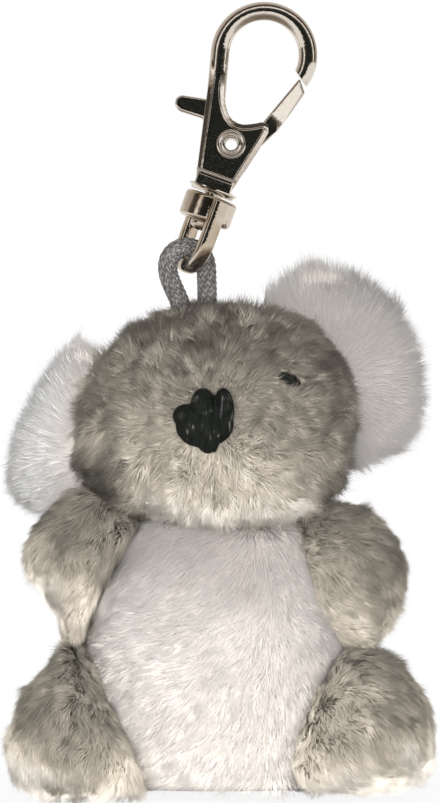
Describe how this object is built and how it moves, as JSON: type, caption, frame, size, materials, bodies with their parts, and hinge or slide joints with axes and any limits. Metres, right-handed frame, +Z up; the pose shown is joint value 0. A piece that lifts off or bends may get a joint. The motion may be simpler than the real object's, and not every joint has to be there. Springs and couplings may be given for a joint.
{
  "type": "plush koala charm",
  "caption": "Small sitting plush koala with fluffy ears and a pale belly, hung by a braided cord loop from a swivel snap hook with a sprung trigger gate.",
  "frame": {"origin": "inner side of the hook's crown, at its top, where the thing that carries the charm touches it", "axes": "+Z up along the hanging charm, the koala faces -Y, +X to the viewer's right"},
  "size_m": [0.0578, 0.0378, 0.1094],
  "materials": {
    "nickel": "nickel plated, polished",
    "spring_steel": "bright wire",
    "cord": "braided cord",
    "grey_plush": "short pile plush",
    "cream_plush": "soft pile plush",
    "ear_plush": "long pile plush",
    "nose": "satin stitched cloth",
    "eye": "polished bead",
    "fibre": "loose fibre filling"
  },
  "bodies": {
    "hook": {"hook_body": "nickel", "gate_rivet": "nickel", "gate_spring": "spring_steel", "swivel_stud": "nickel"},
    "gate": {"gate_lever": "nickel"},
    "eye": {"swivel_eye": "nickel"},
    "cord": {"cord_loop": "cord"},
    "koala": {"cord_knot": "cord", "head_skin": "grey_plush", "torso_skin": "grey_plush", "belly_panel": "cream_plush", "head_stuffing": "fibre", "torso_stuffing": "fibre", "nose": "nose", "eye_left": "eye", "eye_right": "eye", "ear_left_front": "ear_plush", "ear_right_front": "ear_plush", "ear_left_back": "grey_plush", "ear_right_back": "grey_plush", "arm_left_skin": "grey_plush", "arm_left_stuffing": "fibre", "arm_right_skin": "grey_plush", "arm_right_stuffing": "fibre", "leg_left_skin": "grey_plush", "leg_left_stuffing": "fibre", "leg_right_skin": "grey_plush", "leg_right_stuffing": "fibre"}
  },
  "joints": [
    {"name": "gate_open", "type": "hinge", "parent": "hook", "child": "gate", "pos_m": [-0.00458, 0, -0.01744], "axis": [0, -1, 0], "range_deg": [0, 26], "stiffness_Nm_per_rad": 0.012, "springref_deg": -20.05},
    {"name": "swivel", "type": "hinge", "parent": "hook", "child": "eye", "pos_m": [-0.00787, 0, -0.02646], "axis": [0.342, 0, 0.9397], "continuous": true},
    {"name": "cord_swing", "type": "hinge", "parent": "eye", "child": "cord", "pos_m": [-0.01077, 0, -0.03445], "axis": [0.352, -0.9272, -0.1281], "range_deg": [-60, 40]},
    {"name": "koala_nod", "type": "hinge", "parent": "cord", "child": "koala", "pos_m": [-0.00966, 0.00045, -0.0412], "axis": [1, 0, 0], "range_deg": [-20, 20], "deforming": ["cord_loop"]}
  ]
}
